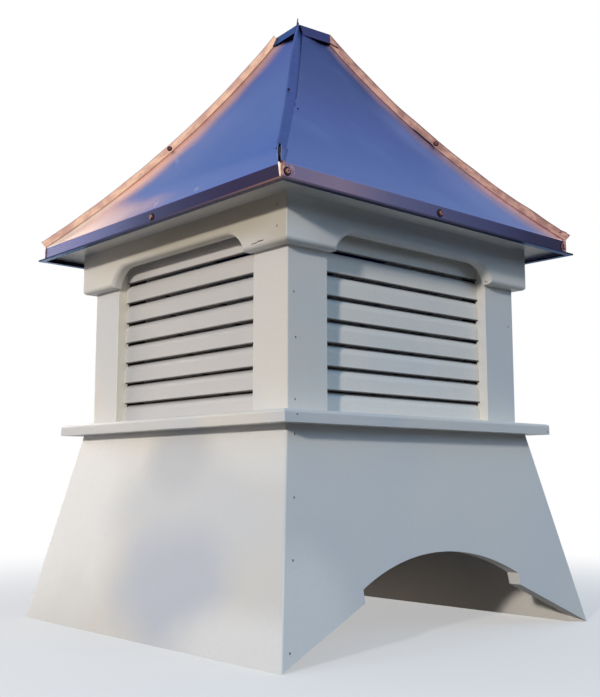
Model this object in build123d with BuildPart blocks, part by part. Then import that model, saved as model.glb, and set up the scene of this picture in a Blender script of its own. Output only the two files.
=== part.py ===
from build123d import *
import math
import os

# A louvred barn cupola that straddles a roof ridge: a flared base, a louvred body and a copper roof.
# Millimetres, +Z up. The origin is the middle of the base at the level of its feet.
# The front looks along -Y. The ridge runs along X, so the left and right base boards carry the cut.
# Every face is drawn once, as the front one, and turned to its own side.

# Driving dimensions: flared base
base_foot_half = 305.0
base_head_half = 246.0
base_height = 281.0
base_board = 19.0
base_corner_radius = 3.0

# Driving dimensions: ridge cut in the left and right base boards
roof_pitch_angle = 23.4
vent_half_width = 158.0
vent_edge_rise = 16.0
cut_crown_height = 117.0

# Driving dimensions: sill band
sill_half = 272.0
sill_width = 72.0
sill_thickness = 16.0
sill_nose_radius = 5.0
corner_ease = 1.5

# Driving dimensions: louvred body
body_half = 235.0
stile_width = 68.0
stile_thickness = 19.0
header_height = 22.0
cleat_width = 18.0
cleat_depth = 20.0

# Driving dimensions: slats
slat_count = 8
slat_pitch = 31.5
slat_setback = 15.0
slat_thickness = 4.0
slat_face_height = 17.5
slat_nose_radius = 12.0
slat_nose_angle = 65.0
slat_tail_length = 8.0

# Driving dimensions: frieze
frieze_height = 63.0
frieze_thickness = 16.0
frieze_edge_radius = 6.5
cutout_height = 29.0
cutout_corner_radius = 40.0
cutout_end_reveal = 4.0

# Driving dimensions: boxed eave
soffit_outer_half = 295.7
soffit_width = 96.0
soffit_thickness = 16.0

# Driving dimensions: copper roof
sheet_thickness = 0.8
roof_rise = 342.5
roof_hollow = 16.7
crown_opening_half = 29.5
eave_clearance = 0.7
fascia_depth = 21.0
lip_width = 8.0
lip_thickness = 2.4

# Driving dimensions: hip seams and crown cap
seam_thickness = 2.2
seam_height = 12.5
seam_root = 1.2
seam_overrun = 2.5
ear_rise = 15.5
ear_lean = 4.5
ear_width = 6.5
cap_half = 32.5
cap_height = 12.5
cap_sheet = 1.0
cap_slot_clearance = 0.4

# Levels and places that follow from them
body_height = slat_count * slat_pitch + header_height
sill_top = base_height + sill_thickness
body_top = sill_top + body_height
frieze_bottom = body_top - frieze_height
frieze_half = body_half + frieze_thickness
opening_half = body_half - stile_width
soffit_top = body_top + soffit_thickness
eave_half = soffit_outer_half + sheet_thickness
eave_top = soffit_top + eave_clearance
lip_half = eave_half + lip_width
crown_top = eave_top + roof_rise
base_flare = (base_foot_half - base_head_half) / base_height
base_board_level = base_board * math.hypot(1.0, base_flare)
reach = 2 * lip_half

SIDE_TURNS = {"front": 0, "right": 90, "back": 180, "left": 270}
END_TURNS = {"front": 0, "back": 180}
GABLE_TURNS = {"right": 90, "left": 270}
EARED_SEAM_TURNS = {"front_right": 0}
SQUARE_SEAM_TURNS = {"back_right": 90, "back_left": 180, "front_left": 270}
HALF_TURN = 180

os.makedirs("parts", exist_ok=True)


def write_turned(name, front_piece, turns):
    """Writes a copy of the front piece for each side, turned about the middle."""
    for side, turn in turns.items():
        piece = front_piece.rotate(Axis.Z, turn)
        piece.label = f"{name}_{side}"
        export_step(piece, f"parts/{name}_{side}.step")


def mitre_ends(bottom, top):
    """Keeps what lies between the two front diagonals, so that neighbours meet at the corners."""
    with BuildSketch(Plane.XY.offset(bottom)) as wedge:
        with BuildLine():
            Polyline((0, 0), (-reach, -reach), (reach, -reach), close=True)
        make_face()
    extrude(wedge.sketch, amount=top - bottom, mode=Mode.INTERSECT)


def ease_corners(outer_half, bottom, top):
    """Rounds the upright outer corners of a board that is mitred at its ends."""
    with BuildSketch(Plane.XY.offset(bottom)) as outline:
        RectangleRounded(2 * outer_half, 2 * outer_half, corner_ease)
    extrude(outline.sketch, amount=top - bottom, mode=Mode.INTERSECT)


def flat_ring_board(bottom, thickness, outer_half, width):
    """Draws one level board of a mitred square ring."""
    inner_half = outer_half - width
    with BuildSketch(Plane.XY.offset(bottom)) as outline:
        with BuildLine():
            Polyline(
                (-outer_half, -outer_half),
                (outer_half, -outer_half),
                (inner_half, -inner_half),
                (-inner_half, -inner_half),
                close=True,
            )
        make_face()
    extrude(outline.sketch, amount=thickness)


def upright_pair(inner_half, width, outer_face, depth, bottom, height):
    """Draws a pair of uprights, one at each end of the front, with their outer face at -outer_face."""
    middle = inner_half + width / 2
    with BuildSketch(Plane.XY.offset(bottom)) as outline:
        with Locations((-middle, depth / 2 - outer_face), (middle, depth / 2 - outer_face)):
            Rectangle(width, depth)
    extrude(outline.sketch, amount=height)


# Flared block with rounded corners, which trims the mitred ends of the base boards
with BuildPart() as base_block:
    with BuildSketch():
        Rectangle(2 * base_foot_half, 2 * base_foot_half)
    extrude(amount=base_height, taper=math.degrees(math.atan(base_flare)))
    fillet(base_block.edges().group_by(Axis.Z)[1], base_corner_radius)

# Flared base board
with BuildPart() as base_end:
    with BuildSketch(Plane.YZ):
        with BuildLine():
            Polyline(
                (-base_foot_half, 0),
                (-base_head_half, base_height),
                (base_board_level - base_head_half, base_height),
                (base_board_level - base_foot_half, 0),
                close=True,
            )
        make_face()
    extrude(amount=base_foot_half, both=True)
    mitre_ends(0, base_height)
    add(base_block.part, mode=Mode.INTERSECT)
write_turned("base", base_end.part, END_TURNS)

# Gable base board: the ridge cut has straight flanks, a step for the ridge vent and a rounded crown
vent_shoulder = (base_foot_half - vent_half_width) * math.tan(math.radians(roof_pitch_angle))
vent_top = vent_shoulder + vent_edge_rise
with BuildPart() as base_gable:
    add(base_end.part)
    with BuildSketch(Plane.XZ):
        with BuildLine():
            Polyline(
                (-vent_half_width, vent_top),
                (-vent_half_width, vent_shoulder),
                (-base_foot_half, 0),
                (base_foot_half, 0),
                (vent_half_width, vent_shoulder),
                (vent_half_width, vent_top),
            )
            ThreePointArc(
                (-vent_half_width, vent_top), (0, cut_crown_height), (vent_half_width, vent_top)
            )
        make_face()
    extrude(amount=reach, mode=Mode.SUBTRACT)
write_turned("base", base_gable.part, GABLE_TURNS)

# Sill band with its top outer edge rounded
with BuildPart() as sill:
    flat_ring_board(base_height, sill_thickness, sill_half, sill_width)
    fillet(sill.edges().filter_by(Axis.X).group_by(Axis.Y)[0].sort_by(Axis.Z)[-1], sill_nose_radius)
    ease_corners(sill_half, base_height, sill_top)
write_turned("sill", sill.part, SIDE_TURNS)

# Stiles: the gable pair runs to the corners, the front and back pair butts against it
with BuildPart() as stiles_gable:
    upright_pair(opening_half, stile_width, body_half, stile_thickness, sill_top, body_height)
    outer_edges = stiles_gable.edges().filter_by(Axis.Z).group_by(Axis.Y)[0].sort_by(Axis.X)
    fillet([outer_edges[0], outer_edges[-1]], corner_ease)
write_turned("stiles", stiles_gable.part, GABLE_TURNS)

with BuildPart() as stiles_end:
    butted_width = stile_width - stile_thickness
    upright_pair(opening_half, butted_width, body_half, stile_thickness, sill_top, body_height)
write_turned("stiles", stiles_end.part, END_TURNS)

# Header rail between the stiles
with BuildPart() as header:
    with BuildSketch(Plane.XY.offset(body_top - header_height)):
        with Locations((0, stile_thickness / 2 - body_half)):
            Rectangle(2 * opening_half, stile_thickness)
    extrude(amount=header_height)
write_turned("header", header.part, SIDE_TURNS)

# Cleats behind the stiles, flush with the opening, that the slats are fixed between
with BuildPart() as cleats:
    cleat_face = body_half - stile_thickness
    upright_pair(opening_half, cleat_width, cleat_face, cleat_depth, sill_top, body_height)
write_turned("cleats", cleats.part, SIDE_TURNS)

# Slats: plumb outer face, rolled nose and a tail that rises behind the slat above
with BuildSketch() as slat_section:
    with BuildLine():
        face_line = Line((0, 0), (0, slat_face_height))
        nose = JernArc(face_line @ 1, face_line % 1, slat_nose_radius, -slat_nose_angle)
        Line(nose @ 1, nose @ 1 + slat_tail_length * (nose % 1))
        offset(amount=slat_thickness, side=Side.RIGHT)
    make_face()

with BuildPart() as louvres:
    slat_places = [
        (slat_setback - body_half, sill_top + row * slat_pitch) for row in range(slat_count)
    ]
    with BuildSketch(Plane.YZ):
        with Locations(*slat_places):
            add(slat_section.sketch)
    extrude(amount=opening_half, both=True)
write_turned("louvres", louvres.part, SIDE_TURNS)

# Frieze with a round-ended cut-out over the louvres and a rounded lower edge
cutout_half = opening_half - cutout_end_reveal
cutout_top = frieze_bottom + cutout_height
with BuildPart() as frieze:
    with BuildSketch(Plane.XZ.offset(body_half)):
        with Locations((0, frieze_bottom)):
            Rectangle(2 * frieze_half, frieze_height, align=(Align.CENTER, Align.MIN))
        with Locations((0, cutout_top)):
            RectangleRounded(
                2 * cutout_half,
                reach,
                cutout_corner_radius,
                align=(Align.CENTER, Align.MAX),
                mode=Mode.SUBTRACT,
            )
    extrude(amount=frieze_thickness)
    outer_edges = frieze.faces().sort_by(Axis.Y)[0].edges()
    end_edges = outer_edges.group_by(Axis.X)[0] + outer_edges.group_by(Axis.X)[-1]
    top_edge = outer_edges.group_by(Axis.Z)[-1]
    fillet(outer_edges - end_edges - top_edge, frieze_edge_radius)
    mitre_ends(frieze_bottom, body_top)
    ease_corners(frieze_half, frieze_bottom, body_top)
write_turned("frieze", frieze.part, SIDE_TURNS)

# Soffit board of the boxed eave
with BuildPart() as soffit:
    flat_ring_board(body_top, soffit_thickness, soffit_outer_half, soffit_width)
write_turned("soffit", soffit.part, SIDE_TURNS)

# Line of the roof's outer surface: X is minus the distance from the middle, Y is the height
slope_arc = SagittaArc((-eave_half, eave_top), (-crown_opening_half, crown_top), -roof_hollow)


def roof_level(distance):
    """Gives the height of the roof's outer surface at a distance from the middle."""
    run = distance + slope_arc.arc_center.X
    return slope_arc.arc_center.Y - math.sqrt(slope_arc.radius**2 - run**2)


# Copper sheet: concave slope, fascia folded down and thick hemmed lip folded out
fascia_foot = eave_top - fascia_depth
with BuildPart() as roof:
    with BuildSketch(Plane.YZ):
        with BuildLine():
            Line((-eave_half, fascia_foot), (-eave_half, eave_top))
            add(slope_arc)
            offset(amount=sheet_thickness, side=Side.RIGHT)
        make_face()
        with BuildLine():
            Polyline(
                (sheet_thickness - eave_half, fascia_foot),
                (-lip_half, fascia_foot),
                (-lip_half, fascia_foot - lip_thickness),
                (sheet_thickness - eave_half, fascia_foot - lip_thickness),
                close=True,
            )
        make_face()
    extrude(amount=reach, both=True)
    mitre_ends(fascia_foot - lip_thickness, crown_top + cap_height)
    for hip_x in (1, -1):
        with BuildSketch(Plane((0, 0, 0), x_dir=(hip_x, -1, 0), z_dir=(-1, -hip_x, 0))):
            with Locations((0, eave_top - seam_root)):
                Rectangle(reach, reach, align=Align.MIN)
        extrude(amount=seam_thickness / 2, both=True, mode=Mode.SUBTRACT)
write_turned("roof", roof.part, SIDE_TURNS)

# Standing hip seam: a strip on the diagonal, cut off square where it passes the crown cap
diagonal = math.sqrt(2.0)
seam_start_half = crown_opening_half - seam_overrun
seam_middle_half = (eave_half + seam_start_half) / 2
hip_angle = math.atan2(roof_rise, diagonal * (eave_half - crown_opening_half))
seam_rise = (seam_height * math.sin(hip_angle), seam_height * math.cos(hip_angle))
hip_plane = Plane((0, 0, 0), x_dir=(1, -1, 0), z_dir=(-1, -1, 0))


def hip_point(distance, along=0.0, up=0.0):
    """Gives a point of the hip in the diagonal plane, moved outwards and up."""
    return (diagonal * distance + along, roof_level(distance) + up)


with BuildPart() as seam:
    with BuildSketch(hip_plane):
        with BuildLine():
            root = ThreePointArc(
                hip_point(seam_start_half, 0, -seam_root),
                hip_point(seam_middle_half, 0, -seam_root),
                hip_point(eave_half, 0, -seam_root),
            )
            crest = ThreePointArc(
                hip_point(eave_half, *seam_rise),
                hip_point(seam_middle_half, *seam_rise),
                hip_point(seam_start_half, *seam_rise),
            )
            Line(root @ 1, crest @ 0)
            Line(crest @ 1, root @ 0)
        make_face()
    extrude(amount=seam_thickness / 2, both=True)
write_turned("seam", seam.part, SQUARE_SEAM_TURNS)

# Eared hip seam: the same strip, with its top corner bent up as an ear
with BuildPart() as eared_seam:
    add(seam.part)
    with BuildSketch(hip_plane):
        with BuildLine():
            ear_half = seam_start_half + ear_width
            crest_end = hip_point(ear_half, *seam_rise)
            ear_tip = (crest_end[0] - ear_lean, crest_end[1] + ear_rise)
            Polyline(
                hip_point(seam_start_half, *seam_rise),
                ear_tip,
                crest_end,
                hip_point(ear_half),
                close=True,
            )
        make_face()
    extrude(amount=seam_thickness / 2, both=True)
write_turned("seam", eared_seam.part, EARED_SEAM_TURNS)

# Crown cap: a square pan turned upside down over the opening, slotted at its corners for the seams
cap_bottom = roof_level(cap_half - cap_sheet)
slot_start = diagonal * seam_start_half - cap_slot_clearance
slot_width = seam_thickness + 2 * cap_slot_clearance
with BuildPart() as crown_cap:
    with BuildSketch(Plane.XY.offset(cap_bottom)):
        Rectangle(2 * cap_half, 2 * cap_half)
    extrude(amount=cap_height)
    offset(amount=-cap_sheet, openings=crown_cap.faces().sort_by(Axis.Z)[0])
    with BuildSketch(Plane.XY.offset(cap_bottom)):
        with PolarLocations(slot_start, len(SIDE_TURNS), start_angle=HALF_TURN / len(SIDE_TURNS)):
            Rectangle(reach, slot_width, align=(Align.MIN, Align.CENTER))
    extrude(amount=cap_height, mode=Mode.SUBTRACT)
crown_cap.part.label = "crown_cap"
export_step(crown_cap.part, "parts/crown_cap.step")
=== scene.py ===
import bpy
import math
from mathutils import Matrix, Vector, noise


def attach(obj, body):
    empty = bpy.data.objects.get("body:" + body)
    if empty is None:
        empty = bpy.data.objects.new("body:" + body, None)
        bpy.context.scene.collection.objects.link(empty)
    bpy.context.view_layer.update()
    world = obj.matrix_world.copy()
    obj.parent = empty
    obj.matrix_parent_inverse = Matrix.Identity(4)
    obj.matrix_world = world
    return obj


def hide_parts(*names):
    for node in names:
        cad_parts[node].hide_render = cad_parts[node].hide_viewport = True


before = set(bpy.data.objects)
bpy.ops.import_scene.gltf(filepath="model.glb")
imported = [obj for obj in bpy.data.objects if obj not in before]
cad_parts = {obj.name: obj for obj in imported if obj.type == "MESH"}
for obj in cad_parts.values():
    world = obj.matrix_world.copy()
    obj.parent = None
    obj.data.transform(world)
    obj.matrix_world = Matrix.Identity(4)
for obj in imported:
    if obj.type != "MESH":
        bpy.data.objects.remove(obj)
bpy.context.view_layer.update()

# Base boards: four flared boards of white cellular PVC, glued and pinned at the mitred corners.
# The left and right ones are cut out to sit over a roof ridge. Their colour has soft clouds of
# warmer and cooler white, and soft patches painted brighter and darker at fixed places: painted
# light and painted shade of a low sun and an open sky.


class Flow:
    """A number or colour on its way through one finish, so that the finish reads as a sum."""

    def __init__(self, tree, socket=None):
        self.tree = tree
        self.socket = socket

    def node(self, kind, settings=None, sockets=None, output=0):
        """Adds one node: its settings come first, then the values or links of its sockets."""
        made = self.tree.nodes.new(kind)
        for name, value in (settings or {}).items():
            if name == "stops":
                stops = made.color_ramp.elements
                while len(stops) < len(value):
                    stops.new(1.0)
                for stop, (place, shade) in zip(stops, value):
                    stop.position = place
                    stop.color = shade
            else:
                setattr(made, name, value)
        for name, value in (sockets or {}).items():
            if isinstance(value, Flow):
                self.tree.links.new(value.socket, made.inputs[name])
            else:
                made.inputs[name].default_value = value
        return Flow(self.tree, made.outputs[output])

    def math(self, operation, *values):
        return self.node("ShaderNodeMath", {"operation": operation}, dict(enumerate(values)))

    def __add__(self, other):
        return self.math("ADD", self, other)

    def __radd__(self, other):
        return self.math("ADD", other, self)

    def __sub__(self, other):
        return self.math("SUBTRACT", self, other)

    def __rsub__(self, other):
        return self.math("SUBTRACT", other, self)

    def __mul__(self, other):
        return self.math("MULTIPLY", self, other)

    def __truediv__(self, other):
        return self.math("DIVIDE", self, other)

    def root(self):
        return self.math("SQRT", self)

    def rise(self, low, high):
        """Goes smoothly from 0 at low to 1 at high."""
        return self.node(
            "ShaderNodeMapRange",
            {"interpolation_type": "SMOOTHSTEP"},
            {"Value": self, "From Min": low, "From Max": high},
        )

    def blend(self, start, end):
        """Goes from one colour to another as this amount goes from 0 to 1."""
        return self.node(
            "ShaderNodeMix", {"data_type": "RGBA"}, {0: self, 6: start, 7: end}, output=2
        )

    def tint(self, other, amount):
        """Takes this colour towards another one by an amount from 0 to 1."""
        return amount.blend(self, other)

    def noise(self, scale, detail=2.0, roughness=0.5):
        """Reads a noise from 0 to 1 at this point, with scale patches to the metre."""
        return self.node(
            "ShaderNodeTexNoise",
            None,
            {"Vector": self, "Scale": scale, "Detail": detail, "Roughness": roughness},
        )

    def stretched(self, x, y, z):
        """Stretches the point, so that a pattern runs along one direction."""
        return self.node("ShaderNodeMapping", None, {"Vector": self, "Scale": (x, y, z)})

    def turned(self, degrees):
        """Turns the point about the upright axis."""
        return self.node(
            "ShaderNodeMapping", None, {"Vector": self, "Rotation": (0, 0, math.radians(degrees))}
        )

    def part(self, axis):
        return self.node("ShaderNodeSeparateXYZ", None, {0: self}, output="XYZ".index(axis))

    def bump(self, strength, distance):
        return self.node(
            "ShaderNodeBump", None, {"Height": self, "Strength": strength, "Distance": distance}
        )


def paint(shade):
    """Turns a colour as the eye names it, 0 to 255, into the shader's scale."""
    steps = (step / 255 for step in shade)
    red, green, blue = (
        step / 12.92 if step <= 0.04045 else ((step + 0.055) / 1.055) ** 2.4 for step in steps
    )
    return red, green, blue, 1.0


def new_finish(name):
    """Starts a finish, and gives its material, its shader and its point on the surface."""
    finish = bpy.data.materials.new(name)
    finish.use_nodes = True
    tree = finish.node_tree
    point = Flow(tree).node("ShaderNodeTexCoord", output="Object")
    return finish, tree.nodes["Principled BSDF"], point


def connect(flow, shader, socket):
    flow.tree.links.new(flow.socket, shader.inputs[socket])


def wear(nodes, finish):
    """Gives a finish to CAD nodes."""
    for name in nodes:
        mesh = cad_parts[name].data
        mesh.materials.clear()
        mesh.materials.append(finish)


BOARD_WHITES = ((233, 230, 224), (219, 223, 229))
SPECK = paint((205, 203, 197))


def board_finish(name, cloud_scale, cloud_depth, grain, shades=BOARD_WHITES, turn=0, painted_light_patches=()):
    """Satin board: two shades in soft clouds, a fine skin and a grain along the given direction.

    Patches are painted light and painted shade: each is its place along the board and up, its half
    sizes in metres and its shade.
    """
    finish, shader, point = new_finish(name)
    clouds = point.noise(cloud_scale, 2.0, 0.5).rise(0.35, 0.68)
    colour = (clouds * cloud_depth).blend(*(paint(shade) for shade in shades))
    along, up = point.turned(-turn).part("X"), point.part("Z")
    # Each patch paints light or shade into the colour at its place.
    for middle, level, half_width, half_height, shade in painted_light_patches:
        wide, tall = (along - middle) / half_width, (up - level) / half_height
        away = (wide * wide + tall * tall).root() + point.noise(11.0, 2.0) * 0.5
        colour = colour.tint(paint(shade), 1.0 - away.rise(0.70, 1.60))
    colour = colour.tint(SPECK, point.noise(420.0, 1.0).rise(0.3, 0.7) * 0.10)
    connect(colour, shader, "Base Color")
    brushed = point.stretched(*grain).noise(1.0, 3.0, 0.6)
    connect(0.34 + brushed * 0.16 + clouds * 0.05, shader, "Roughness")
    skin = brushed * 0.6 + point.noise(900.0, 2.0) * 0.4
    connect(skin.bump(0.10, 0.0004), shader, "Normal")
    return finish


SIDES = {"front": 0, "right": 90, "back": 180, "left": 270}
UPRIGHT_GRAIN = (260.0, 260.0, 9.0)
# Painted light and painted shade on the base boards, one patch each.
PLAIN_PAINTED_LIGHT = (
    (-0.30, 0.20, 0.25, 0.20, (254, 255, 255)),
    (0.20, 0.25, 0.12, 0.05, (238, 239, 240)),
    (0.08, 0.17, 0.19, 0.07, (222, 226, 231)),
    (0.03, 0.24, 0.07, 0.05, (212, 216, 222)),
    (0.06, 0.07, 0.13, 0.085, (204, 211, 225)),
    (0.25, 0.01, 0.16, 0.055, (244, 246, 248)),
)
CUT_PAINTED_LIGHT = ((-0.28, 0.04, 0.10, 0.10, (244, 244, 240)),)
BASE_PAINTED_LIGHT = {
    "front": PLAIN_PAINTED_LIGHT,
    "right": CUT_PAINTED_LIGHT,
    "back": PLAIN_PAINTED_LIGHT[:2],
    "left": CUT_PAINTED_LIGHT,
}
for side, painted_light_patches in BASE_PAINTED_LIGHT.items():
    base_board = board_finish(
        f"base_board_{side}", 4.0, 0.5, UPRIGHT_GRAIN, turn=SIDES[side], painted_light_patches=painted_light_patches
    )
    wear([f"base_{side}"], base_board)

# Sill band: a flat PVC board on edge-mitred corners, nosed along the top and pinned to the base.
# Its grain runs level, as on the other boards that lie along a side.
LEVEL_GRAIN = (12.0, 12.0, 260.0)
level_board = board_finish("level_board", 6.0, 0.7, LEVEL_GRAIN)
wear([f"sill_{side}" for side in SIDES], level_board)

# Louvred body: corner stiles, a header rail and the cleats behind them, cut from the same board.
# The stiles are painted paler at the edge of the front and back louvres, as painted light. The
# cleats show only inside the slots between the slats, and are painted as dark as the slots look
# there: painted shade.
OPENING_HALF, EDGE_WIDTH, BODY_MIDDLE = 0.167, 0.0012, 0.43
WHOLE_LENGTH = 10.0
PAINTED_LIT_EDGE = ((-OPENING_HALF, BODY_MIDDLE, EDGE_WIDTH, WHOLE_LENGTH, (255, 251, 238)),)
EDGE_PAINTED_LIGHT = {"front": PAINTED_LIT_EDGE, "right": (), "back": PAINTED_LIT_EDGE, "left": ()}
for side, painted_light_patches in EDGE_PAINTED_LIGHT.items():
    stile_board = board_finish(
        f"stile_board_{side}", 4.0, 0.9, UPRIGHT_GRAIN, turn=SIDES[side], painted_light_patches=painted_light_patches
    )
    wear([f"stiles_{side}"], stile_board)
wear([f"header_{side}" for side in SIDES], level_board)
# The cleats' dark brown is painted shade: the shadow of the slots on their sides.
CLEAT_PAINTED_SHADE = ((84, 74, 62), (72, 66, 58))
cleat_board = board_finish("cleat_board", 4.0, 0.9, UPRIGHT_GRAIN, CLEAT_PAINTED_SHADE)
wear([f"cleats_{side}" for side in SIDES], cleat_board)

# Slats: extruded PVC blades with a rolled nose, fixed between the cleats. The dark line along the
# lower edge of each blade stands for the shadow in the slot below it.
SILL_TOP, SLAT_PITCH, SLAT_COUNT = 0.297, 0.0315, 8
SLOT_LINE, SLOT_SHADE = 0.0016, (46, 42, 38)
SLAT_GRAIN = (10.0, 10.0, 300.0)
SLOT_LINES = tuple(
    (0.0, SILL_TOP + SLAT_PITCH * row, WHOLE_LENGTH, SLOT_LINE, SLOT_SHADE)
    for row in range(1, SLAT_COUNT)
)
# The front and back slats are painted darker and the right and left ones lighter: painted shade and
# painted light on one white.
SLAT_LIT_AND_SHADED_WHITES = {
    "front": ((216, 214, 214), (208, 210, 214)),
    "right": ((250, 244, 234), (238, 238, 238)),
}
OPPOSITE = {"front": "back", "right": "left"}
for side, shades in SLAT_LIT_AND_SHADED_WHITES.items():
    slat_finish = board_finish(
        f"slat_skin_{side}", 7.0, 0.6, SLAT_GRAIN, shades, painted_light_patches=SLOT_LINES
    )
    wear([f"louvres_{side}", f"louvres_{OPPOSITE[side]}"], slat_finish)

# Frieze and boxed eave: shaped PVC boards under the roof, mitred at the corners. Their colour is
# painted darker high on the friezes and toward one end of each soffit, as painted shade where the
# eave's shadow lies, and painted lighter near one end of the side friezes, as painted light.
FRIEZE_PAINTED_LIGHT = {
    "front": (
        (0.10, 0.555, 0.24, 0.035, (200, 194, 180)),
        (0.28, 0.53, 0.08, 0.05, (206, 201, 190)),
    ),
    "right": (
        (-0.27, 0.54, 0.08, 0.05, (250, 250, 246)),
        (0.05, 0.56, 0.20, 0.03, (206, 210, 216)),
    ),
}
for side, painted_light_patches in FRIEZE_PAINTED_LIGHT.items():
    for worn in (side, OPPOSITE[side]):
        frieze_board = board_finish(
            f"frieze_board_{worn}", 6.0, 0.7, LEVEL_GRAIN, turn=SIDES[worn], painted_light_patches=painted_light_patches
        )
        wear([f"frieze_{worn}"], frieze_board)
SOFFIT_LEVEL, SHADED_WIDTH, SHADED_HEIGHT = 0.567, 0.075, 1.0
SHADED_ENDS = {"front": -0.29, "right": 0.29, "back": -0.29, "left": 0.29}
for side, shaded_end in SHADED_ENDS.items():
    painted_light_patches = ((shaded_end, SOFFIT_LEVEL, SHADED_WIDTH, SHADED_HEIGHT, (122, 126, 132)),)
    soffit_board = board_finish(
        f"soffit_board_{side}", 6.0, 0.7, LEVEL_GRAIN, turn=SIDES[side], painted_light_patches=painted_light_patches
    )
    wear([f"soffit_{side}"], soffit_board)

# Roof sheets: four sheets of new copper, bent to a hollow curve, folded down as the fascia and out
# as a hemmed lip. Their colour carries a painted reflection of the blue sky, and a painted warm
# reflection of the bright seam and the low sun beside two of the hips. The fascia, the lip and the
# creases carry painted light and shade.
EAVE_TOP = 0.5877
SLOPE_FOOT = EAVE_TOP - 0.0012
LIP_TOP, LIP_UNDERSIDE = EAVE_TOP - 0.0206, EAVE_TOP - 0.0233
SHEET_TOP, SKIN_FOOT, WARM_REFLECTION_FOOT, FASCIA_HALF = 0.045, 0.28, 0.285, 0.297
COLD_EDGE, PLAIN_EDGE = (0.45, 0.55, 0.74, 1), (1.0, 1.0, 1.0, 1)


def by_place(value, start, end, stops):
    """Reads a colour off a ramp laid from start to end; each stop is a place and a colour."""
    return value.node(
        "ShaderNodeValToRGB",
        {"stops": tuple(((at - start) / (end - start), paint(shade)) for at, shade in stops)},
        {"Fac": (value - start) / (end - start)},
    )


def sheet_finish(name, turn, skin, warm_reflection, fascia, lip, hip, spread, rim, crease_highlights):
    """Copper sheet: painted sky-blue reflection, painted warm reflection beside one hip, and fascia
    and lip painted lighter and darker end to end, as painted light and shade.

    The skin, which is the painted sky reflection, and the warm reflection go from the top out, the
    fascia and the lip from end to end. The hip is the end with the warm reflection, and how strongly
    it shines there. The spread is the warm reflection's width at the top, its growth outwards, its
    growth at the foot and where that starts and ends. The rim is the shade that the warm reflection
    fades through, its depth and where it starts and ends.
    """
    finish, shader, point = new_finish(name)
    place = point.turned(-turn)
    along, out, up = place.part("X"), 0.0 - place.part("Y"), place.part("Z")
    blush_end, shine = hip
    clouds = point.noise(9.0, 3.0, 0.55)
    # The skin is the painted reflection of the blue sky, changing from the top out.
    colour = by_place(out, SHEET_TOP, SKIN_FOOT, skin)
    colour = colour.tint(paint((120, 146, 196)), clouds.rise(0.45, 0.75) * 0.22)
    on_slope = up.math("GREATER_THAN", up, SLOPE_FOOT)
    # The fascia and the lip are painted lighter and darker from end to end: painted light, shade and
    # reflection.
    colour = by_place(along, -FASCIA_HALF, FASCIA_HALF, fascia).tint(colour, on_slope)
    on_lip = up.math("LESS_THAN", up, LIP_TOP)
    colour = colour.tint(by_place(along, -FASCIA_HALF, FASCIA_HALF, lip), on_lip)
    # The lip's underside is painted darker, near black toward one end: painted shade.
    under = up.math("LESS_THAN", up, LIP_UNDERSIDE)
    colour = colour.tint(paint((112, 102, 104)), under * 0.6)
    colour = colour.tint(paint((26, 24, 34)), under * (along * blush_end).rise(0.0, 0.2))

    width, growth, foot_growth, foot_start, foot_end = spread
    gap = (out - along * blush_end) * math.sqrt(0.5)
    reach = width + out * growth + out.rise(foot_start, foot_end) * foot_growth
    # A painted sheen lightens the sheet beside the hip with the warm reflection.
    hip_sheen = (1.0 - (gap / reach).rise(0.6, 2.4)) * out.rise(0.09, 0.15) * on_slope
    colour = colour.tint(paint((150, 156, 206)), hip_sheen * 0.5)
    folds = 0.0
    # Each crease is a painted highlight along a line, with a little more roughness.
    for low_along, low_up, high_along, high_up, fold_width, shade in crease_highlights:
        run, climb = high_along - low_along, high_up - low_up
        share = ((along - low_along) * run + (up - low_up) * climb) / (run * run + climb * climb)
        share = share.math("MAXIMUM", share, 0.0)
        share = share.math("MINIMUM", share, 1.0)
        wide, tall = along - low_along - share * run, up - low_up - share * climb
        fold = (1.0 - (wide * wide + tall * tall).root().rise(0.0, fold_width)) * on_slope
        colour = colour.tint(paint(shade), fold * 0.6)
        folds = fold + folds
    connect(colour, shader, "Base Color")
    shader.inputs["Metallic"].default_value = 1.0
    shader.inputs["Specular Tint"].default_value = COLD_EDGE
    roughness = 0.22 + clouds * 0.08 + folds * 0.05
    connect(roughness, shader, "Roughness")
    buckle = (clouds * 0.6 + point.noise(30.0, 2.0) * 0.4).bump(0.25, 0.0012)
    connect(buckle, shader, "Normal")

    ragged = point.noise(14.0, 2.0) * 0.5 + 0.75
    near_hip = 1.0 - (gap / (reach * ragged)).rise(0.12, 1.0)
    # Close to the seam, near the foot, the warm reflection is painted brighter: a painted highlight.
    shining = (1.0 - gap.rise(0.012, 0.034)) * out.rise(0.19, 0.25)
    glow = by_place(out, SHEET_TOP, WARM_REFLECTION_FOOT, warm_reflection)
    glow = glow.tint(paint((255, 252, 242)), shining * shine)
    rim_shade, rim_depth, rim_start, rim_end = rim
    glow = glow.tint(paint(rim_shade), (gap / reach).rise(rim_start, rim_end) * rim_depth)
    warm = point.node(
        "ShaderNodeBsdfPrincipled",
        None,
        {
            "Base Color": glow,
            "Metallic": 1.0,
            "Specular Tint": PLAIN_EDGE,
            "Roughness": roughness + 0.12,
            "Normal": buckle,
        },
    )
    tree = point.tree
    cool = Flow(tree, shader.outputs[0])
    both = point.node("ShaderNodeMixShader", None, {0: near_hip * on_slope, 1: cool, 2: warm})
    tree.links.new(both.socket, tree.nodes["Material Output"].inputs["Surface"])
    return finish


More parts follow.
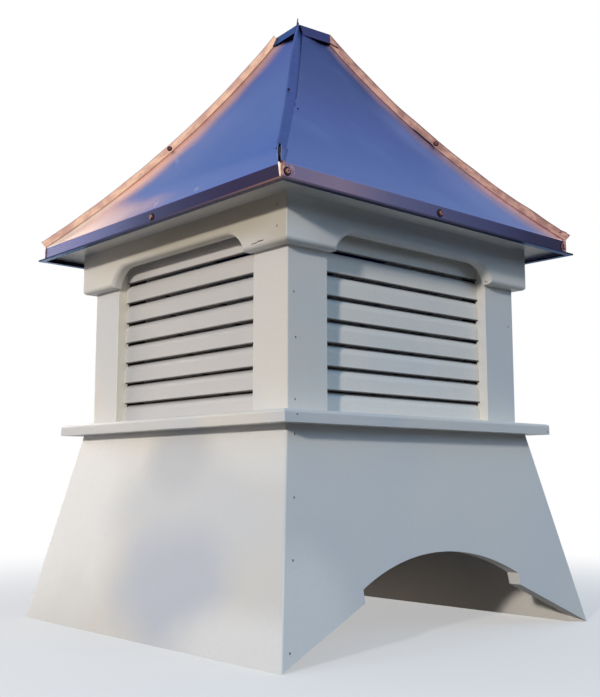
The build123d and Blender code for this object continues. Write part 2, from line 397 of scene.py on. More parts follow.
# The front and back sheets are painted lighter than the right and left ones: painted light and shade
# on one copper.
LIT_SHEET_PAINT = {
    "skin": (
        (0.045, (101, 110, 172)),
        (0.10, (107, 119, 177)),
        (0.16, (105, 119, 180)),
        (0.22, (92, 113, 184)),
        (0.28, (62, 99, 186)),
    ),
    "warm_reflection": (
        (0.045, (192, 160, 170)),
        (0.10, (206, 168, 168)),
        (0.16, (238, 194, 184)),
        (0.20, (255, 208, 188)),
        (0.235, (244, 194, 182)),
        (0.285, (228, 194, 180)),
    ),
    "fascia": (
        (-0.285, (149, 146, 175)),
        (-0.20, (138, 135, 173)),
        (-0.10, (112, 114, 148)),
        (0.0, (82, 82, 109)),
        (0.10, (68, 65, 91)),
        (0.20, (62, 54, 78)),
        (0.28, (62, 54, 76)),
    ),
    "lip": (
        (-0.28, (70, 64, 86)),
        (0.0, (76, 70, 94)),
        (0.18, (96, 76, 88)),
        (0.28, (130, 95, 90)),
    ),
    "hip": (-1, 1.0),
    "spread": (0.026, 0.27, 0.19, 0.23, 0.29),
    "rim": ((206, 112, 92), 0.45, 0.2, 0.8),
}
SHADED_SHEET_PAINT = {
    "skin": (
        (0.045, (78, 84, 130)),
        (0.10, (86, 92, 139)),
        (0.16, (93, 99, 156)),
        (0.22, (95, 106, 165)),
        (0.28, (104, 117, 174)),
    ),
    "warm_reflection": (
        (0.045, (158, 150, 194)),
        (0.10, (156, 148, 190)),
        (0.13, (150, 142, 184)),
        (0.16, (166, 168, 214)),
        (0.19, (194, 188, 214)),
        (0.22, (240, 200, 212)),
        (0.25, (228, 196, 212)),
        (0.28, (240, 200, 206)),
    ),
    "fascia": (
        (-0.28, (109, 104, 133)),
        (-0.20, (120, 108, 133)),
        (-0.10, (86, 89, 123)),
        (0.0, (75, 79, 113)),
        (0.12, (64, 67, 100)),
        (0.20, (54, 53, 76)),
        (0.28, (54, 49, 68)),
    ),
    "lip": (
        (-0.28, (84, 74, 92)),
        (-0.20, (70, 66, 92)),
        (0.28, (44, 41, 60)),
    ),
    "hip": (1, 0.0),
    "spread": (0.012, 0.14, 0.018, 0.19, 0.24),
    "rim": ((150, 128, 160), 0.8, 0.05, 0.5),
}
# Painted highlights along creases in the front sheet: each runs from one point to another, with a
# width and a shade.
CREASE_HIGHLIGHTS = (
    (-0.132, 0.735, -0.079, 0.702, 0.006, (176, 180, 214)),
    (-0.079, 0.702, -0.037, 0.674, 0.006, (130, 146, 200)),
    (-0.037, 0.674, 0.013, 0.650, 0.006, (118, 138, 196)),
    (0.004, 0.603, 0.013, 0.595, 0.006, (210, 206, 222)),
    (0.100, 0.602, 0.112, 0.595, 0.005, (190, 190, 214)),
)
SHEETS = {
    "front": (LIT_SHEET_PAINT, CREASE_HIGHLIGHTS),
    "right": (SHADED_SHEET_PAINT, ()),
    "back": (LIT_SHEET_PAINT, ()),
    "left": (SHADED_SHEET_PAINT, ()),
}
for side, (shades, crease_highlights) in SHEETS.items():
    sheet = sheet_finish(f"copper_sheet_{side}", SIDES[side], crease_highlights=crease_highlights, **shades)
    wear([f"roof_{side}"], sheet)

# Hip seams: the edges of two sheets folded up together on each hip, turned over into a narrow hem
# and hammered flat, so they wave and carry dents. Two of them are warm copper, one in painted light
# and one in painted shade. Two, laid over on their side, carry the painted reflection of the blue
# sky as the sheets do. Lines along their crests and roots are painted light and shade.
HOLLOW_RADIUS, HOLLOW_MIDDLE, HOLLOW_LEVEL = 1420.0, 1269.7, 1621.7
SEAM_TOP, SEAM_FOOT, SPLIT_TOP = 27.0, 296.4, 268.0
FIN_OUT, FIN_UP = 0.6717, 0.7407
SEAM_RISE, SEAM_REACH, SEAM_SHEET = 12.3, 0.3040, 0.0007
SEAM_STEPS, CRUMPLE_START = 240, 0.92
DENTS, WAVES, CRUMPLES = 13.0, 9.0, 70.0
LAP = (-3.4, -2.6)
SEAM_FOLD = (
    (0.0, -1.2),
    (0.0, 0.6),
    (0.0, 3.0),
    (0.0, 6.0),
    (0.0, 9.0),
    (0.0, 11.2),
    (0.3, 12.0),
    (0.9, 12.3),
    (1.5, 12.0),
    (1.7, 11.2),
    (1.7, 8.6),
)


def seam_finish(name, dull, bright, crest, root, edge=COLD_EDGE):
    """Hammered copper, dull to bright in streaks, with painted light and shade along crest and root.
    """
    finish, shader, point = new_finish(name)
    laid = point.node("ShaderNodeUVMap", {"uv_map": "UVMap"})
    height = laid.part("Y")
    streaks = laid.stretched(24.0, 3.4, 1.0).noise(1.0, 3.0, 0.6)
    hue = (point.noise(17.0, 2.0) * 0.35 + streaks * 0.65).rise(0.38, 0.62)
    pale = hue.blend(paint(dull), paint(bright))
    pale = pale.tint(paint(crest), height.rise(0.42, 0.56))
    pale = pale.tint(paint(root), 1.0 - height.rise(0.07, 0.12))
    connect(pale, shader, "Base Color")
    shader.inputs["Metallic"].default_value = 1.0
    shader.inputs["Specular Tint"].default_value = edge
    connect(0.24 + streaks * 0.16, shader, "Roughness")
    connect(point.noise(30.0, 3.0, 0.6).bump(0.5, 0.002), shader, "Normal")
    return finish


def form(piece, kind, **settings):
    """Forms the piece further with a modifier, and applies it."""
    bpy.context.view_layer.objects.active = piece
    modifier = piece.modifiers.new(kind.title(), kind)
    for name, value in settings.items():
        setattr(modifier, name, value)
    bpy.ops.object.modifier_apply(modifier=modifier.name)


def settle(piece, finish, slot, *nodes):
    """Gives a piece its finish and its body, and hides the nodes it stands for; the slot is not used.
    """
    piece.data.materials.clear()
    piece.data.materials.append(finish)
    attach(piece, "root")
    if nodes:
        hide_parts(*nodes)


def on_hip(turn, half, side, rise):
    """Gives the place, in metres, of a point on a hip: out by half, to a side and up the fin."""
    level = HOLLOW_LEVEL - math.sqrt(HOLLOW_RADIUS**2 - (HOLLOW_MIDDLE - half) ** 2)
    out = math.sqrt(2.0) * half + rise * FIN_OUT
    across, ahead = (out + side) / math.sqrt(2.0), (side - out) / math.sqrt(2.0)
    near = Vector((across, ahead, level + rise * FIN_UP))
    return Matrix.Rotation(math.radians(turn), 3, "Z") @ near / 1000.0


def hammered_seam(hip, finish, turn, foot, hem, lean, dent, wave, crumple):
    """Builds one seam: hem is the side it is turned over to, lean the degrees it is laid over."""
    bpy.ops.object.select_all(action="DESELECT")
    last = len(SEAM_FOLD) - 1
    bpy.ops.mesh.primitive_grid_add(x_subdivisions=SEAM_STEPS, y_subdivisions=last, size=1.0)
    seam = bpy.context.object
    seam.name = f"hammered_seam_{hip}"
    for vertex in seam.data.vertices:
        run = vertex.co.x + 0.5
        side, rise = SEAM_FOLD[round((vertex.co.y + 0.5) * last)]
        half = SEAM_TOP + (foot - SEAM_TOP) * run
        share = max(rise, 0.0) / SEAM_RISE
        ragged = max(0.0, run - CRUMPLE_START) / (1.0 - CRUMPLE_START) * crumple
        dented = noise.noise(Vector((run * DENTS, share * 1.5, turn)))
        waved = noise.noise(Vector((run * WAVES, 7.0, turn)))
        creased = noise.noise(Vector((run * CRUMPLES, share * 4.0, turn)))
        if lean and rise < 0.0:
            side, rise = LAP
        side = side * hem + (dented * dent + creased * ragged * 3.0) * share
        rise += (waved * wave + creased * ragged * 2.0) * share
        laid = math.radians(lean) * (0.2 + 0.8 * min(1.0, run * 4.0))
        if rise > 0.0:
            side, rise = (
                side * math.cos(laid) + rise * math.sin(laid),
                rise * math.cos(laid) - side * math.sin(laid),
            )
        place = on_hip(turn, half + creased * ragged * share, side, rise)
        inside = (max(-SEAM_REACH, min(SEAM_REACH, reach)) for reach in place.xy)
        vertex.co = Vector((*inside, place.z))
    form(seam, "SOLIDIFY", thickness=SEAM_SHEET, offset=0.0)
    bpy.ops.object.shade_smooth()
    settle(seam, finish, "copper_seam", f"seam_{hip}")


# The sunlit and the shaded seam are one copper painted in light and in shade; the third is painted
# with the sky's reflection.
sunlit_seam_paint = seam_finish(
    "seam_sunlit", (212, 166, 150), (252, 208, 178), (178, 150, 156), (116, 60, 44), (1.0, 0.9, 0.8, 1)
)
shaded_seam_paint = seam_finish(
    "seam_shaded", (156, 118, 112), (208, 164, 150), (112, 86, 90), (92, 60, 66), (1.0, 0.95, 0.9, 1)
)
sky_reflection_seam_paint = seam_finish(
    "seam_sky_reflection", (78, 88, 144), (84, 96, 154), (96, 106, 162), (78, 88, 144)
)
SEAMS = {
    "front_left": (sunlit_seam_paint, 270, SEAM_FOOT, -1, 0.0, 1.2, 0.5, 0.5),
    "back_right": (shaded_seam_paint, 90, SEAM_FOOT, 1, 0.0, 1.8, 1.2, 4.0),
    "front_right": (sky_reflection_seam_paint, 0, SPLIT_TOP, -1, -72.0, 0.6, 0.3, 0.0),
    "back_left": (sky_reflection_seam_paint, 180, SEAM_FOOT, -1, -60.0, 0.6, 0.3, 0.5),
}
for hip, make in SEAMS.items():
    hammered_seam(hip, *make)

# Seam ends: the near seam's top corner stands up past the cap as a thin ear. At its foot the seam
# is slit, and its two leaves stand apart over a black strip, painted shade in the gap, below a small
# hole drawn as a black plate. The seam on the right has a black strip of painted shade along part of
# its root, where it lifts, and an old fold near the top. The ear, the leaves and the lap carry the
# sheets' painted sky reflection, the ear darker as painted shade and the leaves lighter.
STRIP_EDGE, SMOOTH_ANGLE = 0.00015, math.radians(40)


def strip_on_hip(name, finish, turn, thickness, *corners):
    """Cuts a flat strip of sheet beside a hip; a corner is out, side and rise in millimetres."""
    bpy.ops.object.select_all(action="DESELECT")
    bpy.ops.mesh.primitive_plane_add(size=1.0)
    strip = bpy.context.object
    strip.name = name
    bpy.ops.object.mode_set(mode="EDIT")
    bpy.ops.mesh.subdivide(number_cuts=6)
    bpy.ops.object.mode_set(mode="OBJECT")
    low_start, low_end, high_end, high_start = (Vector(corner) for corner in corners)
    for vertex in strip.data.vertices:
        run, height = vertex.co.x + 0.5, vertex.co.y + 0.5
        low, high = low_start.lerp(low_end, run), high_start.lerp(high_end, run)
        vertex.co = on_hip(turn, *low.lerp(high, height))
    form(strip, "SOLIDIFY", thickness=thickness / 1000.0, offset=0.0)
    form(strip, "BEVEL", width=STRIP_EDGE, segments=2)
    bpy.ops.object.shade_smooth_by_angle(angle=SMOOTH_ANGLE)
    settle(strip, finish, "copper_seam")


def dark_finish(name, shade, roughness):
    """Near-black or grey, mottled and dull: painted shade for gaps, and the dark of washers and
    marks.
    """
    finish, shader, point = new_finish(name)
    shader.inputs["Specular IOR Level"].default_value = 0.2
    mottle = point.noise(400.0, 2.0)
    dark = paint(shade)
    pale = (*(2.2 * part for part in dark[:3]), 1)
    connect(mottle.blend(dark, pale), shader, "Base Color")
    connect(roughness + mottle * 0.2, shader, "Roughness")
    connect(mottle.bump(0.3, 0.0002), shader, "Normal")
    return finish


painted_gap_shade = dark_finish("painted_gap_shade", (3, 3, 12), 0.7)
ear_copper = seam_finish("seam_ear", (46, 50, 92), (58, 64, 112), (62, 68, 118), (50, 54, 96))
light_leaf = seam_finish(
    "seam_leaf", (120, 128, 178), (140, 148, 192), (150, 156, 200), (110, 118, 168)
)
# The strip over the fold is finished darker than the seam.
dark_fold_copper = seam_finish("seam_dark_fold", (96, 66, 70), (122, 88, 88), (84, 60, 66), (92, 60, 66))
NEAR_HIP, RIGHT_HIP = 0, 90
strip_on_hip(
    "seam_ear", ear_copper, NEAR_HIP, 1.6,
    (27.0, -5.0, 4.0), (33.5, -5.6, 4.0), (33.4, -5.0, 12.4), (27.6, -3.6, 18.6),
)
strip_on_hip(
    "slit_gap", painted_gap_shade, NEAR_HIP, 3.4,
    (269.0, -6.7, 0.0), (295.8, -3.7, -0.5), (295.8, -3.7, 6.5), (272.0, -6.4, 6.0),
)
strip_on_hip(
    "slit_hole", painted_gap_shade, NEAR_HIP, 2.4,
    (262.0, -7.2, 3.0), (264.5, -7.0, 3.0), (264.5, -7.0, 6.0), (262.0, -7.2, 6.0),
)
strip_on_hip(
    "slit_leaf_left", light_leaf, NEAR_HIP, 0.9,
    (262.0, -10.0, 0.0), (296.4, -5.7, -1.0), (296.4, -5.9, 8.0), (262.0, -10.2, 5.0),
)
strip_on_hip(
    "slit_leaf_right", light_leaf, NEAR_HIP, 0.8,
    (264.0, -4.4, 0.0), (296.4, -1.6, -1.0), (296.4, -1.8, 8.0), (264.0, -4.6, 5.0),
)
strip_on_hip(
    "slit_lap", sky_reflection_seam_paint, NEAR_HIP, 0.5,
    (264.0, 3.4, -1.8), (296.4, 3.0, -1.4), (296.4, -1.9, 1.6), (264.0, -4.6, 2.4),
)
strip_on_hip(
    "root_gap", painted_gap_shade, RIGHT_HIP, 0.6,
    (123.0, -0.7, -0.8), (157.0, -0.7, -0.8), (148.0, -0.7, 1.5), (131.0, -0.7, 1.2),
)
strip_on_hip(
    "seam_crease", dark_fold_copper, RIGHT_HIP, 0.5,
    (30.0, -0.9, 0.2), (39.0, -0.9, 7.0), (39.0, -0.9, 8.6), (30.0, -0.9, 1.6),
)

# Corner tabs: where the fascia ends meet, the seam's foot is folded down over the corner as a
# tapering strip, painted bright on two corners as painted light. On the left and right sides a
# round-ended tab of sheet is screwed over each joint; the near tabs carry the fascia's painted sky
# reflection.
FASCIA, CORNER = 296.5, 296.9
FOLD_TOP, FOLD_FOOT = 588.6, 567.2
TAB_LOW, TAB_HIGH = 568.6, 586.0
PLATE_EDGE = 0.0002


def face_outwards(piece):
    """Turns every face of the piece to point out of it."""
    bpy.ops.object.mode_set(mode="EDIT")
    bpy.ops.mesh.select_all(action="SELECT")
    bpy.ops.mesh.normals_make_consistent(inside=False)
    bpy.ops.object.mode_set(mode="OBJECT")
    bpy.ops.object.shade_smooth_by_angle(angle=SMOOTH_ANGLE)


def plate(name, outline, depth, turn, finish):
    """Cuts a small plate to its outline, thickens it and softens its edges."""
    bpy.ops.object.select_all(action="DESELECT")
    bpy.ops.mesh.primitive_circle_add(vertices=len(outline), radius=1.0, fill_type="NGON")
    piece = bpy.context.object
    piece.name = name
    turned = Matrix.Rotation(math.radians(turn), 3, "Z")
    for vertex, corner in zip(piece.data.vertices, outline):
        vertex.co = turned @ Vector(corner) / 1000.0
    piece.data.update()
    form(piece, "SOLIDIFY", thickness=depth / 1000.0, offset=0.0)
    form(piece, "BEVEL", width=PLATE_EDGE, segments=2)
    face_outwards(piece)
    settle(piece, finish, "copper_seam")


def scrap_finish(name, dull, bright):
    """Handled copper: finger-marked, from a dull to a bright shade."""
    finish, shader, point = new_finish(name)
    marks = point.noise(180.0, 3.0, 0.6)
    connect(marks.rise(0.35, 0.65).blend(paint(dull), paint(bright)), shader, "Base Color")
    shader.inputs["Metallic"].default_value = 1.0
    connect(0.25 + marks * 0.2, shader, "Roughness")
    connect(marks.bump(0.3, 0.0006), shader, "Normal")
    return finish


def tab_outline(start, end):
    """Gives the outline of a tab on the right fascia, rounded at the end that is given second."""
    face = FASCIA + 0.5
    way = 1 if end > start else -1
    middle, radius = (TAB_LOW + TAB_HIGH) / 2, (TAB_HIGH - TAB_LOW) / 2
    centre = end - way * radius
    arc = [
        (face, centre + way * radius * math.cos(turn), middle + radius * math.sin(turn))
        for turn in (math.radians(90 - 15 * step) for step in range(13))
    ]
    return [(face, start, TAB_LOW), (face, start, TAB_HIGH), *arc]


# The bright fold is the copper painted lit; the tab copper carries a painted sky reflection.
lit_fold_paint = scrap_finish("lit_fold_paint", (244, 214, 186), (255, 244, 226))
rosy_fold = scrap_finish("rosy_fold", (140, 104, 110), (196, 156, 150))
tab_copper = scrap_finish("tab_copper", (112, 96, 122), (142, 124, 146))
# The far tabs are finished darker than the near ones.
dark_tab_copper = scrap_finish("dark_tab_copper", (66, 40, 52), (150, 110, 116))
FOLD_OUTLINE = (
    (289.0, -FASCIA - 0.7, FOLD_TOP - 0.4),
    (293.4, -FASCIA - 0.7, FOLD_TOP),
    (294.4, -FASCIA - 0.7, FOLD_FOOT),
    (292.2, -FASCIA - 0.7, FOLD_FOOT),
)
LAP_OUTLINE = (
    (291.6, -FASCIA - 0.5, FOLD_TOP - 0.4),
    (CORNER, -FASCIA - 0.5, FOLD_TOP),
    (CORNER, -FASCIA - 0.5, FOLD_FOOT),
    (293.4, -FASCIA - 0.5, FOLD_FOOT),
)
EDGE_OUTLINE = (
    (FASCIA + 0.6, -CORNER, FOLD_TOP),
    (FASCIA + 0.6, -293.6, FOLD_TOP - 0.6),
    (FASCIA + 0.6, -295.2, FOLD_FOOT),
    (FASCIA + 0.6, -CORNER, FOLD_FOOT),
)
CORNERS = {
    "near": (0, lit_fold_paint),
    "far": (90, rosy_fold),
    "back": (180, lit_fold_paint),
    "left": (270, rosy_fold),
}
for corner, (turn, fold_copper) in CORNERS.items():
    plate(f"corner_fold_{corner}", FOLD_OUTLINE, 0.9, turn, fold_copper)
    plate(f"corner_lap_{corner}", LAP_OUTLINE, 0.6, turn, rosy_fold)
    plate(f"corner_edge_{corner}", EDGE_OUTLINE, 0.9, turn, rosy_fold)
TABBED = {"right": 0, "left": 180}
for side, turn in TABBED.items():
    plate(f"tab_near_{side}", tab_outline(-295.0, -276.5), 0.7, turn, tab_copper)
    plate(f"tab_far_{side}", tab_outline(295.0, 283.5), 0.7, turn, dark_tab_copper)

# Screws: small copper-plated pan heads on dark sealing washers. One holds each fascia at its middle,
# one each tab, and one goes through each seam about halfway up the hip. The two smallest, on the
# near hip and beside it on the right sheet, are only dark dots.
WASHER_RADIUS, WASHER_DEPTH, HEAD_LIMIT = 0.0050, 0.0009, 0.0027
DRIVE_RADIUS, DRIVE_MOUTH, DOT_SIZE = 0.0010, 0.0024, 0.4
bpy.ops.object.select_all(action="DESELECT")
bpy.ops.mesh.primitive_cylinder_add(vertices=28, radius=WASHER_RADIUS, depth=WASHER_DEPTH)
screw = bpy.context.object
screw.name = "screw_head"
bpy.ops.object.mode_set(mode="EDIT")
bpy.ops.mesh.select_mode(type="FACE")


def pick_top():
    """Selects the screw's highest flat face alone."""
    bpy.ops.mesh.select_all(action="DESELECT")
    bpy.ops.object.mode_set(mode="OBJECT")
    flat = [face for face in screw.data.polygons if face.normal.z > 0.99]
    max(flat, key=lambda face: (len(face.vertices) > 4, face.center.z)).select = True
    bpy.ops.object.mode_set(mode="EDIT")


HEAD_STEPS = ((0.0024, 0.0), (0.0, 0.0016), (0.0007, 0.0005), (0.0009, 0.0), (0.0, -0.0009))
for inset, lift in HEAD_STEPS:
    pick_top()
    if inset:
        bpy.ops.mesh.inset(thickness=inset)
        bpy.ops.transform.translate(value=(0, 0, lift))
    else:
        bpy.ops.mesh.extrude_region_move(TRANSFORM_OT_translate={"value": (0, 0, lift)})
bpy.ops.object.mode_set(mode="OBJECT")
form(screw, "BEVEL", width=PLATE_EDGE, segments=2)
bpy.ops.object.shade_smooth_by_angle(angle=SMOOTH_ANGLE)
washer_black = dark_finish("washer_black", (20, 10, 20), 0.5)
screw_copper = scrap_finish("screw_copper", (110, 70, 74), (190, 134, 130))
screw.data.materials.append(screw_copper)
screw.data.materials.append(washer_black)
for face in screw.data.polygons:
    edge = math.hypot(face.center.x, face.center.y)
    sunk = edge < DRIVE_RADIUS and face.center.z < DRIVE_MOUTH
    face.material_index = 1 if edge > HEAD_LIMIT or sunk else 0

TAB_FACE = FASCIA + 0.8
SCREWS = {
    "fascia_front": ((16.0, -FASCIA, 576.0), (0, -1, 0), 1.15),
    "fascia_right": ((FASCIA, -10.0, 576.6), (1, 0, 0), 1.2),
    "fascia_back": ((-17.0, FASCIA, 576.7), (0, 1, 0), 1.0),
    "fascia_left": ((-FASCIA, 10.0, 576.0), (-1, 0, 0), 1.0),
    "tab_near_right": ((TAB_FACE, -290.6, 576.0), (1, 0, 0), 1.15),
    "tab_far_right": ((TAB_FACE, 290.0, 576.0), (1, 0, 0), 0.8),
    "tab_near_left": ((-TAB_FACE, 290.6, 576.0), (-1, 0, 0), 1.15),
    "tab_far_left": ((-TAB_FACE, -290.0, 576.0), (-1, 0, 0), 0.8),
    "hip_front_left": (1000 * on_hip(270, 151.0, 0.4, 6.5), (1, -1, 0), 0.85),
    "hip_back_right": (1000 * on_hip(90, 151.0, -0.4, 6.5), (1, -1, 0), 0.85),
    "hip_front_right": (1000 * on_hip(0, 137.0, -8.2, 4.4), (1, -1, 0.4), 0.38),
    "sheet_right": ((168.3, -158.0, 725.9), (1, 0, 0.8), 0.28),
    "hip_back_left": (1000 * on_hip(180, 156.0, 0.4, 6.5), (-1, -1, 0), 0.75),
}
for name, (place, facing, size) in SCREWS.items():
    copied = bpy.data.objects.new(f"screw_{name}", screw.data.copy())
    bpy.context.collection.objects.link(copied)
    turned = Vector(facing).to_track_quat("Z", "Y").to_matrix().to_4x4()
    moved = Matrix.Translation(Vector(place) / 1000.0)
    copied.data.transform(moved @ turned @ Matrix.Scale(size, 4))
    if size < DOT_SIZE:
        copied.data.materials[0] = washer_black
    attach(copied, "root")
bpy.data.objects.remove(screw)

# Crown cap: a small pan of the same sheet, notched at its corners for the seams and turned down over
# the open top. It sits a little askew, with its front flap bent out, and a black band stands in the
# gap under it as painted shade.
CAP_HALF, CAP_LEVEL, CAP_NOTCH, CAP_SHEET, CAP_EDGE = 0.0325, 0.9388, 0.0042, 0.0008, 0.0003
CAP_TURN, CAP_SHIFT, CAP_SPREAD = math.radians(-6), 0.0012, 1.035
FLAP_SPREAD, FLAP_SHIFT, FLAP_FADE, MARGIN = 1.09, 0.004, 0.002, 0.001
bpy.ops.object.select_all(action="DESELECT")
bpy.ops.mesh.primitive_plane_add(size=2 * CAP_HALF, location=(0, 0, CAP_LEVEL))
cap = bpy.context.object
cap.name = "cap_pan"
bpy.ops.object.transform_apply(location=True, rotation=True, scale=True)
bpy.ops.object.mode_set(mode="EDIT")
bpy.ops.mesh.select_mode(type="EDGE")
bpy.ops.mesh.select_all(action="SELECT")
bpy.ops.mesh.bevel(offset=CAP_NOTCH, affect="VERTICES", segments=1)
FLAPS = {
    (0, -1): (0.0, -0.0048, -0.0150),
    (1, 0): (0.0006, 0.0, -0.0152),
    (0, 1): (0.0, 0.0006, -0.0152),
    (-1, 0): (-0.0006, 0.0, -0.0152),
}


def on_rim(point, x, y):
    """Says whether a point lies on the pan's rim on the side that x and y point to."""
    return abs(point.x * x + point.y * y - CAP_HALF) < 1e-4 and abs(point.z - CAP_LEVEL) < 1e-4


for (x, y), drop in FLAPS.items():
    bpy.ops.mesh.select_all(action="DESELECT")
    bpy.ops.object.mode_set(mode="OBJECT")
    for edge in cap.data.edges:
        edge.select = all(on_rim(cap.data.vertices[index].co, x, y) for index in edge.vertices)
    bpy.ops.object.mode_set(mode="EDIT")
    bpy.ops.mesh.extrude_region_move(TRANSFORM_OT_translate={"value": drop})
bpy.ops.object.mode_set(mode="OBJECT")
for vertex in cap.data.vertices:
    if vertex.co.z < CAP_LEVEL - MARGIN:
        spread = FLAP_SPREAD if vertex.co.y < -CAP_HALF else 1.0
        vertex.co.x *= spread if abs(vertex.co.x) < CAP_HALF - MARGIN else 1.0
        at_near_corner = vertex.co.x > CAP_HALF - MARGIN and vertex.co.y < 0.0
        vertex.co.y += FLAP_SHIFT if at_near_corner else 0.0
ASKEW = Matrix.Translation((CAP_SHIFT, CAP_SHIFT, 0.0)) @ Matrix.Rotation(CAP_TURN, 4, "Z")
cap.data.transform(ASKEW @ Matrix.Diagonal((CAP_SPREAD, CAP_SPREAD, 1.0, 1.0)))
cap.data.update()
form(cap, "SOLIDIFY", thickness=CAP_SHEET, offset=1.0)
form(cap, "BEVEL", width=CAP_EDGE, segments=2)
face_outwards(cap)
cap_finish, cap_shader, cap_point = new_finish("copper_cap")
cap_marks = cap_point.noise(60.0, 3.0)
# The cap is painted in the sky's blue reflection, lighter on the front flap as painted light.
lit_front_flap = 1.0 - cap_point.part("Y").rise(-CAP_HALF - FLAP_FADE, -CAP_HALF)
cap_tone = cap_marks.blend(paint((54, 60, 104)), paint((68, 74, 122)))
connect(cap_tone.tint(paint((72, 92, 145)), lit_front_flap), cap_shader, "Base Color")
cap_shader.inputs["Metallic"].default_value = 1.0
cap_shader.inputs["Specular Tint"].default_value = COLD_EDGE
connect(0.22 + cap_marks * 0.12, cap_shader, "Roughness")
settle(cap, cap_finish, "copper_cap", "crown_cap")

# A black band, painted shade for the gap under the cap.
SHADE_BAND_HALF, SHADE_BAND_DEPTH, SHADE_BAND_LEVEL = 0.0308, 0.0095, 0.93275
SHADE_BAND_SKIRT, SKIRT_SPREAD, SHADE_BAND_WALL, SHADE_BAND_EDGE = 0.0036, 1.088, 0.0015, 0.0004
bpy.ops.object.select_all(action="DESELECT")
bpy.ops.mesh.primitive_cylinder_add(
    vertices=4,
    radius=SHADE_BAND_HALF * math.sqrt(2),
    depth=SHADE_BAND_DEPTH,
    end_fill_type="NOTHING",
    location=(0, 0, SHADE_BAND_LEVEL),
    rotation=(0, 0, math.radians(45)),
)
shade_band = bpy.context.object
shade_band.name = "cap_shade_band"
bpy.ops.object.transform_apply(location=True, rotation=True, scale=True)
bpy.ops.object.mode_set(mode="EDIT")
bpy.ops.mesh.select_mode(type="VERT")
bpy.ops.mesh.select_all(action="DESELECT")
bpy.ops.object.mode_set(mode="OBJECT")
for vertex in shade_band.data.vertices:
    vertex.select = vertex.co.z < SHADE_BAND_LEVEL
bpy.ops.object.mode_set(mode="EDIT")
bpy.ops.mesh.extrude_region_move(TRANSFORM_OT_translate={"value": (0, 0, -SHADE_BAND_SKIRT)})
bpy.ops.transform.resize(value=(SKIRT_SPREAD, SKIRT_SPREAD, 1.0))
bpy.ops.object.mode_set(mode="OBJECT")
shade_band.data.transform(ASKEW)
form(shade_band, "SOLIDIFY", thickness=SHADE_BAND_WALL, offset=-1.0)
form(shade_band, "BEVEL", width=SHADE_BAND_EDGE, segments=2)
settle(shade_band, painted_gap_shade, "copper_cap")

# Nail marks: fine steel brads hold the trim, and each head shows as a small grey fleck. The frieze
# has a short chipped line along its lower edge. A mark is its place in millimetres, the way it
# faces, and its width and height beside a brad's own.
BRAD_RADIUS, BRAD_DEPTH = 0.0009, 0.0007
STILE_FACE, SILL_FACE, FRIEZE_FACE = 235.0, 272.0, 251.0
RIGHT, FRONT, FLARE = (1, 0, 0), (0, -1, 0), (1.0, 0.0, 0.21)
MARKS = (
    ((STILE_FACE, -224.6, 448.2), RIGHT, 1.0, 1.7),
    ((STILE_FACE, -221.4, 390.3), RIGHT, 1.0, 1.7),
    ((STILE_FACE, -222.4, 312.1), RIGHT, 1.0, 1.7),
    ((STILE_FACE, 223.3, 449.4), RIGHT, 0.9, 1.5),
    ((SILL_FACE, -251.4, 290.4), RIGHT, 1.8, 0.8),
    ((SILL_FACE, 266.5, 285.1), RIGHT, 1.0, 1.2),
    ((249.0, -235.6, 267.8), FLARE, 0.9, 1.8),
    ((264.9, -250.1, 191.4), FLARE, 0.9, 1.8),
    ((280.0, -265.3, 119.7), FLARE, 0.9, 1.8),
    ((300.8, -288.0, 20.5), FLARE, 0.9, 1.8),
    ((232.8, -FRIEZE_FACE, 556.8), FRONT, 0.8, 2.2),
    ((232.8, -FRIEZE_FACE, 529.2), FRONT, 0.8, 2.2),
    ((188.0, -FRIEZE_FACE, 514.4), FRONT, 8.0, 0.6),
    ((200.0, -FRIEZE_FACE, 515.8), FRONT, 8.0, 0.9),
    ((FRIEZE_FACE, 147.2, 508.6), RIGHT, 1.3, 1.3),
    ((FRIEZE_FACE, 152.0, 508.9), RIGHT, 2.6, 0.6),
)
bpy.ops.object.select_all(action="DESELECT")
bpy.ops.mesh.primitive_cylinder_add(vertices=12, radius=BRAD_RADIUS, depth=BRAD_DEPTH)
brad = bpy.context.object
form(brad, "BEVEL", width=PLATE_EDGE, segments=1)
heads = []
for place, facing, width, height in MARKS:
    head = bpy.data.objects.new("brad_head", brad.data.copy())
    bpy.context.collection.objects.link(head)
    turned = Vector(facing).to_track_quat("Z", "Y").to_matrix().to_4x4()
    shaped = Matrix.Diagonal((width, height, 1.0, 1.0))
    head.data.transform(Matrix.Translation(Vector(place) / 1000.0) @ turned @ shaped)
    heads.append(head)
bpy.data.objects.remove(brad)
bpy.ops.object.select_all(action="DESELECT")
for head in heads:
    head.select_set(True)
bpy.context.view_layer.objects.active = heads[0]
bpy.ops.object.join()
heads[0].name = "brad_heads"
settle(heads[0], dark_finish("brad_steel", (58, 60, 62), 0.4), "white_board")

# Floor and backdrop: a plain pale studio floor that fades into the white behind. The camera and
# mirrored rays meet them so, and all other rays meet a dark floor and a dim blue dome.
FLOOR_SIZE, FADE_START, FADE_END = 40.0, 0.4, 1.6
WHITE = (1, 1, 1, 1)
DOME_SHADE, DOME_LOW, DOME_HIGH = (0.40, 0.66, 1.0, 1), 0.04, 0.46


def looked_at(flow):
    """Is 1 for the camera's, mirrored and see-through rays, and 0 for the rays that light."""
    seen = flow.node("ShaderNodeLightPath", output="Is Camera Ray")
    for ray in ("Is Glossy Ray", "Is Transmission Ray"):
        seen = seen.math("MAXIMUM", seen, flow.node("ShaderNodeLightPath", output=ray))
    return seen


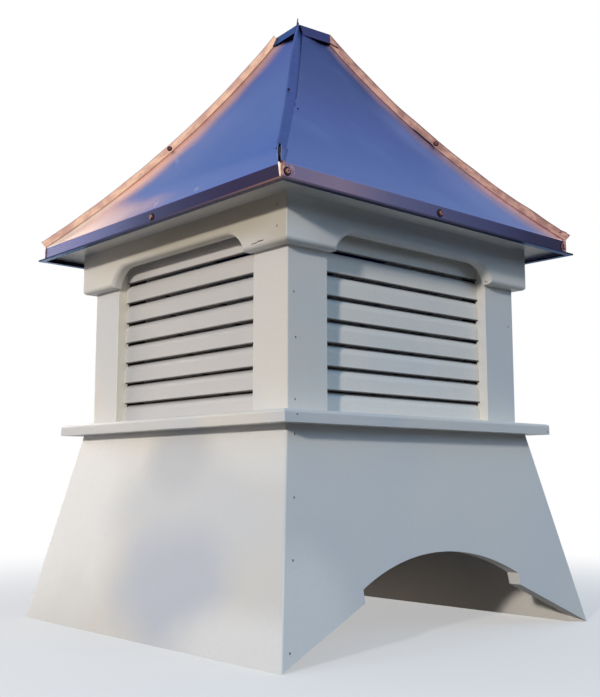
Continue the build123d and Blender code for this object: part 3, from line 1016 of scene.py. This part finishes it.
bpy.ops.object.select_all(action="DESELECT")
bpy.ops.mesh.primitive_plane_add(size=FLOOR_SIZE, location=(0, 0, 0))
floor = bpy.context.object
floor.name = "studio_floor"
floor_finish, floor_shader, point = new_finish("studio_floor")
floor_shader.inputs["Base Color"].default_value = paint((226, 226, 226))
floor_shader.inputs["Roughness"].default_value = 0.9
away = point.node("ShaderNodeVectorMath", {"operation": "LENGTH"}, {0: point}, output=1)
fade = away.rise(FADE_START, FADE_END) * 0.55 + 0.45
white = point.node("ShaderNodeEmission", None, {"Color": WHITE, "Strength": 1.0})
dark = point.node("ShaderNodeBsdfDiffuse", None, {"Color": paint((62, 62, 64))})
pale = Flow(point.tree, floor_shader.outputs[0])
shown = point.node("ShaderNodeMixShader", None, {0: fade, 1: pale, 2: white})
mixed = point.node("ShaderNodeMixShader", None, {0: looked_at(point), 1: dark, 2: shown})
point.tree.links.new(mixed.socket, point.tree.nodes["Material Output"].inputs["Surface"])
floor.data.materials.append(floor_finish)

world = bpy.data.worlds.new("studio")
bpy.context.scene.world = world
world.use_nodes = True
air = Flow(world.node_tree)
backdrop = air.node("ShaderNodeBackground", None, {"Color": WHITE, "Strength": 1.0})
height = air.node("ShaderNodeTexCoord", output="Generated").part("Z")
strength = height.rise(0.0, 0.8) * DOME_HIGH + DOME_LOW
dome = air.node("ShaderNodeBackground", None, {"Color": DOME_SHADE, "Strength": strength})
sky = air.node("ShaderNodeMixShader", None, {0: looked_at(air), 1: dome, 2: backdrop})
air.tree.links.new(sky.socket, air.tree.nodes["World Output"].inputs["Surface"])

# Lamps: the key stands low in front, as an early sun would, and draws the shadows of the eave and
# the sill. A wide warm box on the left and a cool one on the right fill in. The glow card only
# shows mirrored, and gives the front sheet a warm sheen.


def soft_box(name, place, target, size, power, shade):
    bpy.ops.object.light_add(type="AREA", location=place)
    lamp = bpy.context.object
    lamp.name = name
    lamp.data.size = size
    lamp.data.energy = power
    lamp.data.color = shade
    lamp.visible_glossy = False
    lamp.rotation_euler = (Vector(target) - Vector(place)).to_track_quat("-Z", "Y").to_euler()
    return lamp


BODY_TARGET, CARD_TARGET = (0, 0, 0.4), (0, 0, 0.45)
soft_box("key_box", (2.29, -5.32, 2.02), BODY_TARGET, 0.35, 196.0, (1.0, 0.93, 0.83))
soft_box("left_box", (-3.0, -1.5, 0.6), BODY_TARGET, 2.0, 34.0, (1.0, 0.76, 0.55))
soft_box("right_box", (3.5, 1.5, 2.2), BODY_TARGET, 2.4, 35.0, (0.46, 0.70, 1.0))
card = soft_box("glow_card", (-3.0, 0.1, 0.95), CARD_TARGET, 2.2, 77.0, (1.0, 0.87, 0.74))
card.visible_diffuse = False
card.visible_glossy = True

# Camera: it stands off the near corner, a little below the sill, and looks slightly up.
CAMERA_PLACE = (1.14626, -1.02891, 0.21409)
CAMERA_TILT, CAMERA_TURN = math.radians(90 + 7.562), math.radians(48.197)
bpy.ops.object.camera_add(location=CAMERA_PLACE, rotation=(CAMERA_TILT, 0.0, CAMERA_TURN))
camera = bpy.context.object
camera.data.lens = 50.5
camera.data.sensor_width = 36.0
camera.data.clip_start = 0.01
bpy.context.scene.camera = camera
bpy.context.scene.view_settings.view_transform = "Standard"
